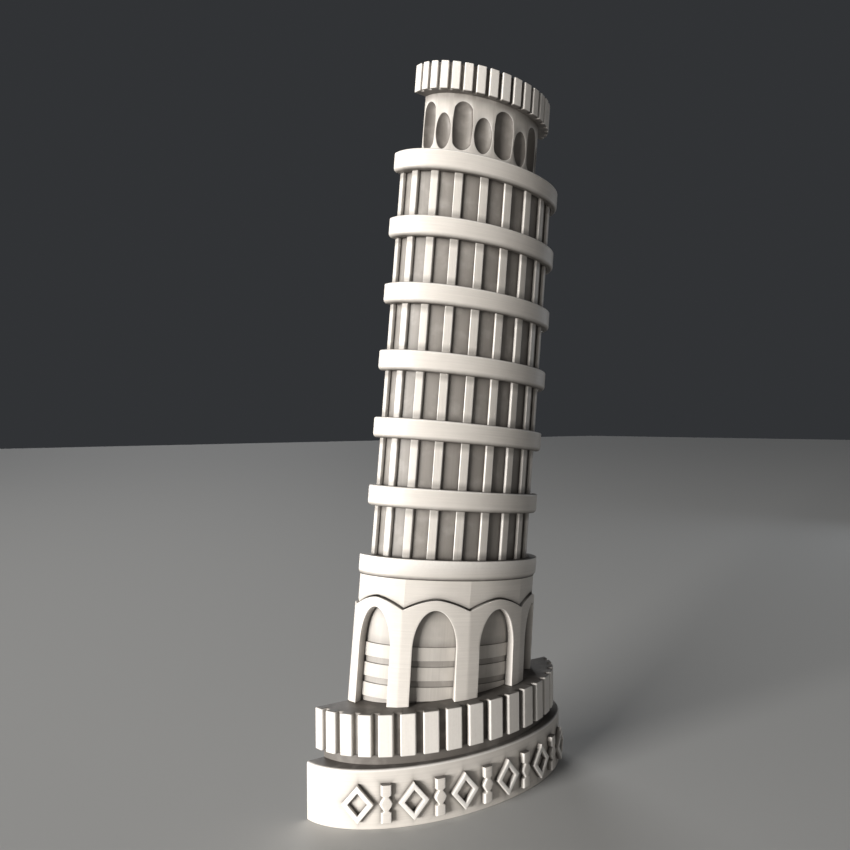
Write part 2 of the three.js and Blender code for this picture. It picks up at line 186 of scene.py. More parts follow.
def meshFrom(name, patches, place, cuts):
    # joins the patches, welds them, closes what is open, then cuts and closes at each plane
    offsets = np.cumsum([0] + [len(p[0]) for p in patches])
    points = np.concatenate([p[0] for p in patches])
    quads = np.concatenate([p[1] + offset for p, offset in zip(patches, offsets)])
    mesh = bpy.data.meshes.new(name)
    mesh.vertices.add(len(points))
    mesh.vertices.foreach_set("co", points.astype(np.float32).ravel())
    mesh.loops.add(4 * len(quads))
    mesh.loops.foreach_set("vertex_index", quads.astype(np.int32).ravel())
    mesh.polygons.add(len(quads))
    mesh.polygons.foreach_set("loop_start", np.arange(0, 4 * len(quads), 4, dtype=np.int32))
    mesh.update(calc_edges=True)
    # per point: a lighter edge mark, partly wear and partly painted highlight, and a painted recess
    # shade
    for label, column in (("wearAndHighlight", 2), ("recess", 3)):
        values = np.concatenate([p[column] for p in patches]).astype(np.float32)
        mesh.attributes.new(label, "FLOAT", "POINT").data.foreach_set("value", values)

    work = bmesh.new()
    work.from_mesh(mesh)
    bmesh.ops.remove_doubles(work, verts=work.verts, dist=weld)
    closeHoles(work)
    for point, normal in cuts:
        parts = work.verts[:] + work.edges[:] + work.faces[:]
        bmesh.ops.bisect_plane(
            work, geom=parts, dist=cutWeld, plane_co=point, plane_no=normal, clear_outer=True
        )
        closeHoles(work)
    bmesh.ops.recalc_face_normals(work, faces=work.faces)
    work.to_mesh(mesh)
    work.free()
    placed = place(read(mesh.vertices, "co", 3)) * mm
    mesh.vertices.foreach_set("co", placed.astype(np.float32).ravel())
    mesh.update()
    cleanBack(mesh)
    return mesh


facesBack = 0.999  # a face whose normal points back by this much is on the flat back


def cleanBack(mesh):
    # moves the edge wear and highlight and the painted recess shade from the points to the face corners,
    # with none on the flat back
    sides = read(mesh.polygons, "loop_total", kind=np.int32)
    corners = read(mesh.loops, "vertex_index", kind=np.int32)
    shown = np.repeat(read(mesh.polygons, "normal", 3)[:, 1] < facesBack, sides)
    for label in ("wearAndHighlight", "recess"):
        values = read(mesh.attributes[label].data, "value", kind=np.float32)
        mesh.attributes.remove(mesh.attributes[label])
        moved = mesh.attributes.new(label, "FLOAT", "CORNER")
        moved.data.foreach_set("value", (values[corners] * shown).astype(np.float32))


smoothAngle = math.radians(32)


def addPiece(name, nodes, patches, material, place=leaned, cuts=(), sharpen=None):
    # sharpen, when given, marks further sharp edges on the mesh
    mesh = meshFrom(name, patches, place, cuts)
    mesh.shade_smooth()
    mesh.set_sharp_from_angle(angle=smoothAngle)
    if sharpen:
        sharpen(mesh)
    mesh.materials.append(material)
    piece = addItem(name, mesh)
    shading = piece.modifiers.new("evenShading", "WEIGHTED_NORMAL")
    shading.keep_sharp = True
    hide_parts(*nodes)
    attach(piece, bodyName)


# ---- finishes
def addGroup(name, inputs, outputs):
    # a node group with the named sockets, and its two end nodes
    group = bpy.data.node_groups.new(name, "ShaderNodeTree")
    for direction, sockets in (("INPUT", inputs), ("OUTPUT", outputs)):
        for label, kind in sockets.items():
            group.interface.new_socket(label, in_out=direction, socket_type="NodeSocket" + kind)
    return group, group.nodes.new("NodeGroupInput"), group.nodes.new("NodeGroupOutput")


def addNode(tree, kind, links=(), **settings):
    # links are (input socket, value or output socket) pairs
    node = tree.nodes.new(kind)
    for label, value in settings.items():
        setattr(node, label, value)
    for socket, value in links:
        if isinstance(value, bpy.types.NodeSocket):
            tree.links.new(value, node.inputs[socket])
        else:
            node.inputs[socket].default_value = value
    return node


def mathNode(tree, operation, first, second=0.0, third=0.0):
    # a sum is kept between 0 and 1
    links = [(0, first), (1, second), (2, third)]
    clamped = operation == "MULTIPLY_ADD"
    return addNode(tree, "ShaderNodeMath", links, operation=operation, use_clamp=clamped).outputs[0]


def noiseNode(tree, place, waves, detail, roughness=0.5):
    links = [("Vector", place), ("Scale", waves), ("Detail", detail), ("Roughness", roughness)]
    return addNode(tree, "ShaderNodeTexNoise", links).outputs["Fac"]


stone = {
    "body": (0.80, 0.755, 0.70, 1),
    "mottled": (0.71, 0.665, 0.61, 1),
    # dark colour of the painted shade; the fine lines also darken towards it
    "paintedShade": (0.075, 0.064, 0.055, 1),
    # lighter colour on edges: partly wear, partly painted highlight
    "rubbedAndHighlight": (0.90, 0.87, 0.83, 1),
    "roughness": 0.4,
    "lineRoughness": 0.16,  # how far the fine lines vary the roughness
    # roughness raised where the painted shade lies
    "paintedShadeRoughness": 0.22,
    "specular": 0.6,
    "lineTone": 0.24,  # how much the fine lines darken the body
    "mottleRelief": 0.35,  # depth of the mottle against that of the fine lines
    "bumpDepth": 0.00003,
    "bumpStrength": 0.35,
}
# Waves per metre across and along the lines, in the piece's own upright axes.
lineFrequency = {"level": (60, 60, 3300), "upright": (2600, 2600, 45)}
lineDetail, lineRoughness = 3.0, 0.6
# Waves per metre and detail of a noise, then how it scales what it breaks up: gain x noise + least.
clouds = {"waves": 260.0, "detail": 4.0, "gain": 0.7, "least": 0.65}
specks = {"waves": 1900.0, "detail": 2.0, "gain": 0.9, "least": 0.45}
levelPower = 3.0  # how quickly the painted shade on level tops and undersides fades as a surface tilts


def brushedLines():
    # fine lines left by the mould's tooling: noise squeezed across the lines, drawn out along them
    sockets = {"Vector": "Vector", "Frequency": "Vector"}
    group, start, end = addGroup("brushedLines", sockets, {"Lines": "Float"})
    links = [(0, start.outputs["Vector"]), (1, start.outputs["Frequency"])]
    squeezed = addNode(group, "ShaderNodeVectorMath", links, operation="MULTIPLY")
    lines = noiseNode(group, squeezed.outputs[0], 1.0, lineDetail, lineRoughness)
    group.links.new(lines, end.inputs["Lines"])
    return group


def shadeWearAndMottle():
    # painted shade where the casting is recessed and on level tops and undersides, a lighter rub on its
    # edges that is partly wear and partly painted highlight, and a soft mottle
    group, start, end = addGroup(
        "shadeWearAndMottle",
        {"Vector": "Vector", "Recess": "Float", "WearAndHighlight": "Float", "LevelShade": "Float"},
        {"PaintedShade": "Float", "RubAndHighlight": "Float", "Mottle": "Float"},
    )
    place = start.outputs["Vector"]
    mottle = noiseNode(group, place, clouds["waves"], clouds["detail"])
    speckle = noiseNode(group, place, specks["waves"], specks["detail"])
    normal = addNode(group, "ShaderNodeNewGeometry").outputs["Normal"]
    height = addNode(group, "ShaderNodeSeparateXYZ", [(0, normal)]).outputs["Z"]
    # painted shade on level faces, tops and undersides alike
    level = mathNode(group, "POWER", mathNode(group, "ABSOLUTE", height), levelPower)
    levelShaded = mathNode(group, "MULTIPLY", level, start.outputs["LevelShade"])
    deep = mathNode(group, "MAXIMUM", levelShaded, start.outputs["Recess"])
    uneven = mathNode(group, "MULTIPLY_ADD", mottle, clouds["gain"], clouds["least"])
    wornAndHighlight = mathNode(group, "MULTIPLY_ADD", speckle, specks["gain"], specks["least"])
    group.links.new(mathNode(group, "MULTIPLY", deep, uneven), end.inputs["PaintedShade"])
    group.links.new(mathNode(group, "MULTIPLY", start.outputs["WearAndHighlight"], wornAndHighlight), end.inputs["RubAndHighlight"])
    group.links.new(mottle, end.inputs["Mottle"])
    return group


effects = {"lines": brushedLines(), "shadeWearAndMottle": shadeWearAndMottle()}


def castStone(name, lines, shade=0.0, levelShade=0.92, lean=True):
    # satin cast stone; shade is painted shade all over a recessed piece, and the level-face strength
    # paints shade on level tops and undersides
    material = bpy.data.materials.new(name)
    material.use_nodes = True
    tree = material.node_tree
    tree.nodes.clear()
    place = addNode(tree, "ShaderNodeTexCoord").outputs["Object"]
    turning = [("Vector", place), ("Rotation", (0, -towerLean * lean, 0))]
    turned = addNode(tree, "ShaderNodeMapping", turning).outputs[0]
    recess, wearAndHighlight = (
        addNode(tree, "ShaderNodeAttribute", attribute_name=label).outputs["Fac"]
        for label in ("recess", "wearAndHighlight")
    )
    links = [("Vector", turned), ("Frequency", lineFrequency[lines])]
    drawn = addNode(tree, "ShaderNodeGroup", links, node_tree=effects["lines"]).outputs["Lines"]
    deepest = mathNode(tree, "MAXIMUM", recess, shade)
    links = [("Vector", turned), ("Recess", deepest), ("WearAndHighlight", wearAndHighlight), ("LevelShade", levelShade)]
    shadeAndWear = addNode(tree, "ShaderNodeGroup", links, node_tree=effects["shadeWearAndMottle"]).outputs

    def blend(amount, first, second):
        links = [(0, amount), (6, first), (7, second)]
        return addNode(tree, "ShaderNodeMix", links, data_type="RGBA").outputs[2]

    streak = mathNode(tree, "MULTIPLY", drawn, stone["lineTone"])
    body = blend(shadeAndWear["Mottle"], stone["body"], stone["mottled"])
    # the fine lines darken towards the painted shade colour
    body = blend(streak, body, stone["paintedShade"])
    # lighter edges, partly wear and partly painted highlight
    body = blend(shadeAndWear["RubAndHighlight"], body, stone["rubbedAndHighlight"])
    # painted shade in recesses and on level faces
    body = blend(shadeAndWear["PaintedShade"], body, stone["paintedShade"])
    smoothest = stone["roughness"] - stone["lineRoughness"] / 2
    satin = mathNode(tree, "MULTIPLY_ADD", drawn, stone["lineRoughness"], smoothest)
    dulled = mathNode(tree, "MULTIPLY_ADD", shadeAndWear["PaintedShade"], stone["paintedShadeRoughness"], satin)
    relief = mathNode(tree, "MULTIPLY_ADD", shadeAndWear["Mottle"], stone["mottleRelief"], drawn)
    links = [("Strength", stone["bumpStrength"]), ("Distance", stone["bumpDepth"]), ("Height", relief)]
    bump = addNode(tree, "ShaderNodeBump", links).outputs[0]
    links = [("Base Color", body), ("Roughness", dulled), ("Normal", bump)]
    links.append(("Specular IOR Level", stone["specular"]))
    shader = addNode(tree, "ShaderNodeBsdfPrincipled", links).outputs[0]
    addNode(tree, "ShaderNodeOutputMaterial", [("Surface", shader)])
    return material


finish = {
    "base": castStone("castStoneBase", "level", lean=False),
    # the neck is painted dark all over, as shade under the gallery
    "neck": castStone("castStoneNeckPaintedShade", "level", shade=0.9, levelShade=1.0, lean=False),
    "gallery": castStone("castStoneGallery", "upright", lean=False),
    "level": castStone("castStoneCornice", "level"),
    "upright": castStone("castStoneColumn", "upright"),
    # the core is painted darker all over, as shade inside the arcade
    "core": castStone("castStoneCorePaintedShade", "upright", shade=0.26),
    "drum": castStone("castStoneDrum", "upright"),
}
print("finishes made:", len(finish))


# ---- outlines and profiles
def arc(middle, radius, start, stop, count):
    # middle + radius x (cos, sin) at even steps between two angles in degrees
    angle = np.radians(np.linspace(start, stop, count))
    return np.stack([middle[0] + radius * np.cos(angle), middle[1] + radius * np.sin(angle)], 1)


def profile(*parts):
    # single points and rows of points, joined into one line
    return np.concatenate([np.atleast_2d(np.asarray(part, float)) for part in parts])


def swung(section, angle):
    # every point (radius, height) of the section at (-radius cos, -radius sin x depth ratio)
    radius, height = section[:, 0][:, None], section[:, 1][:, None]
    x = -radius * np.cos(angle)
    y = -radius * depthRatio * np.sin(angle)
    return np.stack([x, y, np.broadcast_to(height, x.shape)], axis=-1)


def turnedHalf(section, count):
    # the section swings from the left, over the front, to the right, and ends on the flat back
    grid = swung(section, np.linspace(0, np.pi, count))
    grid[:, [0, -1], 1] = 0
    return grid


def ellipsePoint(plan, sweep):
    # plan is (half width, projection, how far the ellipse's centre lies behind the back); sweep
    # runs from 0 degrees, where the ellipse leaves the back at the left, to 180 at the right
    halfWidth, projection, behind = plan
    deep = projection + behind
    start = math.asin(behind / deep)
    angle = start + (math.pi - 2 * start) * np.asarray(sweep, float) / 180
    x = -halfWidth / math.cos(start) * np.cos(angle)
    return np.stack([x, behind - deep * np.sin(angle)], axis=-1)


def grown(plan, by):
    # the same plan, larger all round by a length
    return plan[0] + by, plan[1] + by, plan[2]


leastMitre = 0.35  # keeps the mitre short where an outline folds sharply


def insetRows(outline, section):
    # carries a section of (inset, height) points round an outline along the mitres of its
    # corners; its ends stay on the back
    along = np.diff(outline, axis=0)
    along /= np.linalg.norm(along, axis=1, keepdims=True)
    side = np.stack([-along[:, 1], along[:, 0]], axis=1)  # points into the casting
    before = np.concatenate([side[:1], side])
    after = np.concatenate([side, side[-1:]])
    mitre = before + after
    mitre /= np.maximum(np.sum(mitre * before, axis=1, keepdims=True), leastMitre)
    mitre[0] = [1 / side[0, 0], 0]
    mitre[-1] = [1 / side[-1, 0], 0]
    inset, height = section[:, 0][:, None, None], section[:, 1][:, None]
    flat = outline[None] + mitre[None] * inset
    tall = np.broadcast_to(height, flat.shape[:2])
    return np.concatenate([flat, tall[..., None]], axis=-1)


def slabPatch(outline, inner, section, wearAndHighlight=0.0, recess=0.0):
    # the section's rows, then a closed loop of quads over the top, down the back and underneath
    # by way of the inner outline and its shadow on the back plane
    rows = insetRows(outline, section)
    tall = lambda flat, height: np.column_stack([flat, np.full(len(flat), height)])
    chord = inner * [1, 0]
    bottom, top = section[0, 1], section[-1, 1]
    loop = [tall(inner, top), tall(chord, top), tall(chord, bottom), tall(inner, bottom), rows[0]]
    padded = lambda value: np.concatenate(
        [np.broadcast_to(value, rows.shape[:2]), np.zeros((len(loop), len(outline)))]
    )
    return patch(np.concatenate([rows, np.stack(loop)]), padded(wearAndHighlight), padded(recess))


def roundedSlab(bottom, top, rounding, count, between=0):
    # section of a slab's edge: a quarter round of count points at the bottom and at the top, and
    # as many points as between says on the face
    lower, upper = rounding
    face = np.linspace(bottom + lower, top - upper, between + 2)[1:-1]
    return profile(
        arc((lower, bottom + lower), lower, -90, -180, count),
        np.column_stack([0 * face, face]),
        arc((upper, top - upper), upper, 180, 90, count),
    )


# ---- base
base = {
    "behind": 2.0,  # the base's ellipses are centred this far behind the flat back
    "plinthRound": (0.25, 0.55),  # at the bottom, at the top
    "neckRound": (0.1, 0.1),
    "points": 480,
    "inner": 4.0,  # from an outline to the inner line its caps are built over
    # lighter edges: partly wear, partly painted highlight
    "wearAndHighlight": 0.8,
}
# Rings of blocks: degrees of sweep to the first one's middle and between two, the share of those
# that a block takes, and lengths.
galleryBlocks = {
    "first": 2.45, "pitch": 10.36, "share": 0.7, "slotDepth": 1.3, "corner": 0.38, "round": (0.25, 0.3)
}
crownBlocks = {
    "first": 5.45, "pitch": 10.18, "share": 0.715, "slotDepth": 0.9, "corner": 0.27, "round": (0.22, 0.2)
}
blockShade = {
    "shine": [0, 0, 0.6, 1, 1, 1, 0.5],  # wear and painted highlight from a slot's foot round to a block's face
    "ends": 0.3,
    "under": 0.9,  # painted shade on the lower rounding
}
frieze = {
    "count": 11,
    "height": 8.0,
    "middle": 5.8,
    "proud": 1.2,
    "standOff": 0.095,  # from the plinth's face to the motif's back
    "stroke": 1.0,
    "gap": 1.15,
    "lozenge": 6.6,
    "baluster": 2.8,
    "collar": 2.2,  # length of a baluster's foot and of its head
    "shoulder": 0.8,  # of the baluster's width, at its foot, its head and beside its swelling
    "swellEnd": 0.35,  # of the way from the middle to the collar
    "waist": 0.8,
    "dome": 0.3,  # power of the baluster's cross section, 1 being a diamond's
    "edge": 0.16,  # rounding of the raised edges
    # lighter raised edges: partly wear, partly painted highlight
    "wearAndHighlight": 0.9,
    # strength of the painted shadow round the motifs
    "paintedShade": 0.7,
    "shadow": 0.5,  # how far the painted shadow round a motif reaches
    "body": 0.4,  # of the baluster's width, from its middle to where its painted shadow starts
}


def basePlan(node):
    # the ellipse a casting of the base stands on, its bottom and its top
    low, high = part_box(node)
    return (high.x / mm, backPlane - low.y / mm, base["behind"]), low.z / mm, high.z / mm


def capLines(plan, count):
    # the outline, and the inner line its caps are built over
    sweep = np.linspace(0, 180, count)
    return ellipsePoint(plan, sweep), ellipsePoint(grown(plan, -base["inner"]), sweep)


def faceLengths(line):
    # distance along a line of points from its first one
    return np.concatenate([[0], np.cumsum(np.linalg.norm(np.diff(line, axis=0), axis=1))])


def friezeMiddles():
    # where each motif stands, in lengths along the plinth's face from its middle
    motifs = [frieze["baluster"] if i % 2 else frieze["lozenge"] for i in range(frieze["count"])]
    widths = np.array(motifs)
    ends = np.cumsum(widths + frieze["gap"]) - frieze["gap"]
    return ends - widths / 2 - ends[-1] / 2


def friezePaintedShadow(along, height):
    # painted shadow round the motifs, falling off with the distance from the nearest motif, as
    # exp(-distance / shadow)
    height = height[:, None] - frieze["middle"]
    nearest = np.full((len(height), len(along)), np.inf)
    for i, middle in enumerate(friezeMiddles()):
        x = np.abs(along - middle)[None]
        if i % 2:
            beside = x - frieze["baluster"] * frieze["body"]
            away = np.maximum(beside, np.abs(height) - frieze["height"] / 2)
        else:
            wide, tall = frieze["lozenge"] / 2, frieze["height"] / 2
            away = (x / wide + np.abs(height) / tall - 1) * wide * tall / math.hypot(wide, tall)
            away = np.maximum(away, -frieze["stroke"] - away)
        nearest = np.minimum(nearest, np.maximum(away, 0))
    return frieze["paintedShade"] * np.exp(-nearest / frieze["shadow"])


def addPlinth():
    # a half ellipse with rounded edges, with painted shadow round the frieze and a lighter top edge,
    # partly wear and partly painted highlight
    plan, bottom, top = basePlan("plinth")
    outline, inner = capLines(plan, base["points"])
    section = roundedSlab(bottom, top, base["plinthRound"], 6, between=50)
    wearAndHighlight = (section[:, 1] > top - base["plinthRound"][1])[:, None] * base["wearAndHighlight"]
    length = faceLengths(outline)
    paintedShade = friezePaintedShadow(length - length[-1] / 2, section[:, 1])
    body = slabPatch(outline, inner, section, wearAndHighlight, paintedShade)
    addPiece("plinthBlock", ["plinth"], [body], finish["base"], onBase)


def addNeck():
    # a plain half ellipse set back between plinth and gallery
    plan, bottom, top = basePlan("neck_course")
    outline, inner = capLines(plan, base["points"] // 2)
    body = slabPatch(outline, inner, roundedSlab(bottom, top, base["neckRound"], 3))
    addPiece("neckCourse", ["neck_course"], [body], finish["neck"], onBase)


def blockOutline(plan, blocks):
    # blocks with rounded corners between slots of constant depth; runs from the left end to the
    # right end, as points, their sweeps and their wear and painted highlight
    pitch, depth, corner = blocks["pitch"], blocks["slotDepth"], blocks["corner"]
    count = int((180 - blocks["first"]) / pitch) + 1
    points, sweeps, wornAndHighlight = [ellipsePoint(plan, [0.0])], [[0.0]], [[blockShade["ends"]]]
    for i in range(count):
        for side in (-1, 1):
            if (i == 0 and side < 0) or (i == count - 1 and side > 0):
                continue  # the end blocks run out at the back
            edge = blocks["first"] + pitch * i + side * pitch * blocks["share"] / 2
            perDegree = ellipsePoint(plan, edge + 0.5) - ellipsePoint(plan, edge - 0.5)
            turn = corner / np.linalg.norm(perDegree)
            # up the block's side from the slot's foot, then round the corner
            steps = [ellipsePoint(grown(plan, -by), edge) for by in (depth, depth / 2)]
            for angle in np.linspace(0, math.pi / 2, 5):
                out = ellipsePoint(grown(plan, -corner * (1 - math.sin(angle))), edge)
                over = ellipsePoint(plan, edge - side * turn * (1 - math.cos(angle)))
                steps.append(out + over - ellipsePoint(plan, edge))
            points.append(np.array(steps[::-side]))
            sweeps.append([edge] * len(steps))
            wornAndHighlight.append(blockShade["shine"][::-side])
    points.append(ellipsePoint(plan, [180.0]))
    sweeps.append([180.0])
    wornAndHighlight.append([blockShade["ends"]])
    return np.concatenate(points), np.concatenate(sweeps), np.concatenate(wornAndHighlight)


def blockRecess(outline, plan, depth):
    # painted shade in the slots: 1 at the foot of a slot, 0 on the blocks' faces, from the distance in
    # from the plan's edge
    halfWidth, projection, behind = plan
    deep = projection + behind
    wide = halfWidth / math.sqrt(1 - (behind / deep) ** 2)
    radial = np.hypot(outline[:, 0] / wide, (outline[:, 1] - behind) / deep)
    return np.clip((1 - radial) * deep / depth, 0, 1)


def addBlocks(name, node, plan, bottom, top, blocks, material, place):
    # a slab over the blocks' outline, with painted shade in the slots and on the lower rounding, and
    # lighter blocks' edges, partly wear and partly painted highlight
    outline, sweep, wornAndHighlight = blockOutline(plan, blocks)
    inner = ellipsePoint(grown(plan, -base["inner"]), sweep)
    lower, upper = blocks["round"]
    section = roundedSlab(bottom, top, blocks["round"], 4, between=6)
    slots = np.tile(blockRecess(outline, plan, blocks["slotDepth"]), (len(section), 1))
    edges = (section[:, 1] > top - upper)[:, None]
    wearAndHighlight = np.maximum(edges, wornAndHighlight[None]) * base["wearAndHighlight"] * (slots < 0.5)
    under = np.clip((bottom + lower - section[:, 1]) / lower, 0, 1)[:, None]
    deep = np.maximum(slots, under * blockShade["under"])
    addPiece(name, [node], [slabPatch(outline, inner, section, wearAndHighlight, deep)], material, place)


def addGallery():
    # the base's widest course, a ring of blocks
    spot = basePlan("gallery")
    addBlocks("galleryBlocks", "gallery", *spot, galleryBlocks, finish["gallery"], onBase)


addPlinth()
addNeck()
addGallery()
print("base made")


# ---- frieze on the plinth
def wrapped(flat):
    # bends (along the face, height, out of the face) on to the plinth's curved front, by the
    # length of the ellipse from its middle
    plan, _, _ = basePlan("plinth")
    line = ellipsePoint(plan, np.linspace(0, 180, 3601))
    length = faceLengths(line)
    place = flat[..., 0] + length[-1] / 2
    ease = lambda values: np.interp(place, length, values)
    slope = np.gradient(line, axis=0)
    slope /= np.linalg.norm(slope, axis=1, keepdims=True)
    on = np.stack([ease(line[:, 0]), ease(line[:, 1])], axis=-1)
    out = np.stack([ease(slope[:, 1]), -ease(slope[:, 0])], axis=-1)
    return np.concatenate([on + out * flat[..., 2:3], flat[..., 1:2]], axis=-1)


def addLozenge(number, middle):
    # the section, (in from the edge, off the face), runs up the outer edge, over the bar's face
    # and down the inner edge, while the outline runs round the rhombus
    x, y = frieze["lozenge"] / 2, frieze["height"] / 2
    corners = np.array([(x, 0), (0, y), (-x, 0), (0, -y), (x, 0)])
    share = np.linspace(0, 4, 37)
    outer = np.stack([np.interp(share, range(5), corners[:, i]) for i in (0, 1)], axis=1)
    clear = x * y / math.hypot(x, y)  # from the middle to a side
    edge, proud = frieze["edge"], frieze["proud"]
    up = profile([(0, 0)], arc((edge, proud - edge), edge, 180, 90, 4))
    section = profile(up, (np.array([frieze["stroke"], 0]) + up * [-1, 1])[::-1], [(0, 0)])
    inset, out = section[:, 0][:, None, None], section[:, 1][:, None]
    flat = outer[None] * (1 - inset / clear) + [middle, frieze["middle"]]
    out = np.broadcast_to(out, flat.shape[:2])[..., None]
    raised = np.concatenate([flat, out + frieze["standOff"]], axis=-1)
    onEdge = section[:, 1] > (proud - edge) * 0.999  # with the first point of the rounding
    # painted shade on the bar's sides, darkest at the plinth
    sides = np.clip(1 - section[:, 1] / proud, 0, 1)[:, None]
    bar = patch(wrapped(raised), onEdge[:, None] * frieze["wearAndHighlight"], sides)
    name = "frieze_lozenge_%d" % number
    addPiece("friezeLozenge%d" % number, [name], [bar], finish["base"], onBase)


def addBaluster(number, middle):
    # half width by height from the middle runs through the turner's stops; the section is a
    # flat-topped dome, x = |cos|^power and out = |sin|^power, that shrinks at the foot and head
    edge, top = frieze["edge"], frieze["height"] / 2
    collar = top - frieze["collar"]
    half, waist = frieze["baluster"] / 2, frieze["stroke"] / 2
    shoulder = half * frieze["shoulder"]
    stops = [0, collar * frieze["swellEnd"], collar * frieze["waist"], collar, top]
    widths = [half, shoulder, waist, shoulder, shoulder]
    steps = np.linspace(-top + edge, top - edge, 121)
    height = np.concatenate([[-top, -top, -top + edge / 4], steps, [top - edge / 4, top, top]])
    width = np.interp(np.abs(height), stops, widths)
    share = np.ones(len(height))
    share[[0, -1]] = 0
    rise = share.copy()
    rise[[1, -2]], rise[[2, -3]] = 0.86, 0.95  # the ends are rounded off
    angle = np.linspace(0, math.pi, 19)
    across = np.sign(np.cos(angle)) * np.abs(np.cos(angle)) ** frieze["dome"]
    out = np.abs(np.sin(angle)) ** frieze["dome"]
    x = (width * share)[:, None] * across
    z = np.broadcast_to(height[:, None], x.shape)
    off = (rise * frieze["proud"])[:, None] * out
    raised = [x + middle, z + frieze["middle"], off + frieze["standOff"]]
    onEdge = (out > 0.7) & (np.abs(across) > 0.7)
    # painted shade on the baluster's sides, darkest at the plinth
    sides = np.clip(1 - out * 1.2, 0, 1)
    bent = wrapped(np.stack(raised, axis=-1))
    name = "frieze_baluster_%d" % number
    body = patch(bent, onEdge[None] * frieze["wearAndHighlight"], sides[None])
    addPiece("friezeBaluster%d" % number, [name], [body], finish["base"], onBase)


def addFrieze():
    # lozenges and balusters in turn, a lozenge at either end
    for i, middle in enumerate(friezeMiddles()):
        add = addBaluster if i % 2 else addLozenge
        add(i // 2 + 1, middle)


addFrieze()
print("frieze made")


# ---- arcade at the tower's foot
arcade = {
    "sides": 9,
    "firstCrease": 2.8,  # degrees of sweep
    "bulge": 1.3,
    "thickness": 2.0,
    "batter": 1.3,
    "pilaster": 6.0,
    "spring": 10.3,
    "apex": 19.2,
    "rise": 2.35,
    "valleyDrop": 0.1,  # of the wave's low points below the arches' heads
    "fullness": 1.6,
    "gap": 0.3,
    "clearance": 0.3,  # round the core
    "edge": 0.22,  # rounding of the arches and of the wavy edge
    "drawIn": 4,  # power that keeps the points of the inner wall clear of the creases
    "drumInset": 0.7,
    "drumEdge": 0.15,
    "neckInset": 2.4,  # of the core's upper part
    "foot": -4.0,
    # lighter arch edges: partly wear, partly painted highlight
    "wearAndHighlight": 0.35,
    "reveal": 0.85,  # painted shade inside the arches
    # painted shade on the drum just above the wavy edge, and how far it reaches
    "drumPaintedShade": 0.9,
    "drumShadow": 0.35,
}
bands = {
    "count": 3,
    "bottom": -0.9,
    "height": 3.02,
    "pitch": 4.37,
    "groove": 0.45,
    "edge": 0.14,
    "near": 0.12,  # how far a groove's darkest shade reaches from a band
    # painted shade in the grooves, under the bands and under the core's head
    "shades": {"corner": 1.0, "groove": 0.62, "lip": 0.6, "wall": 0.42, "head": 0.8},
}
coreRadius, _, coreTop = towerSpan("arcade_core")
drumTop = towerSpan("arcade_drum")[2]
neckRadius = coreRadius - arcade["neckInset"]
shellInner = coreRadius + arcade["clearance"]
shellRadius = shellInner + arcade["thickness"]
sidePitch = 360 / arcade["sides"]
sideHalf = shellRadius * math.sin(math.pi / arcade["sides"])
archHalf = sideHalf - arcade["pilaster"] / 2
valley = arcade["apex"] - arcade["valleyDrop"]
crest = valley + arcade["rise"]
sideSweeps = [arcade["firstCrease"] + sidePitch * (i - 0.5) for i in range(arcade["sides"])]
creaseSlack = 0.002  # of a side


def markCreases(mesh):
    # sharpens the edges that run up the creases between the arcade's sides
    x, y, _ = upright(read(mesh.vertices, "co", 3) / mm).T
    sweep = np.degrees(np.arctan2(-y / depthRatio, -x))
    turns = (sweep - arcade["firstCrease"]) / sidePitch
    outside = np.hypot(y / depthRatio, x) > coreRadius + 1
    onCrease = (np.abs(turns - np.round(turns)) < creaseSlack) & outside
    ends = read(mesh.edges, "vertices", 2, np.int32)
    marks = mesh.attributes["sharp_edge"].data
    sharp = read(marks, "value", kind=bool)
    marks.foreach_set("value", sharp | onCrease[ends].all(axis=1))


def waveHeight(along):
    # crest - rise x |share of the half side|^fullness, straighter at the creases than a parabola
    return crest - arcade["rise"] * np.abs(along / sideHalf) ** arcade["fullness"]


def onSide(along, height, inward, sweep, radius, inner, batter=0.0):
    # a place on a side that bulges as a cosine; inward is 0 on its face and 1 on the round wall
    # inside it, and the batter pushes the foot out
    half = radius * math.sin(math.pi / arcade["sides"])
    t = along / sideHalf
    along = t * half
    face = radius * math.cos(math.pi / arcade["sides"]) + arcade["bulge"] * np.cos(math.pi / 2 * t)
    innerAlong = along * (1 - np.abs(t) ** arcade["drawIn"] * (1 - inner / radius))
    wall = np.sqrt(inner**2 - innerAlong**2)
    out = face + (wall - face) * inward
    along = along + (innerAlong - along) * inward
    angle = math.radians(sweep)
    x = -out * math.cos(angle) + along * math.sin(angle)
    y = (-out * math.sin(angle) - along * math.cos(angle)) * depthRatio
    footShare = 1 - (height - arcade["foot"]) / (crest - arcade["foot"])
    y = y * (1 + batter / (radius * depthRatio) * footShare * (1 - inward))
    return np.stack([x, y, np.broadcast_to(height, x.shape)], axis=-1)


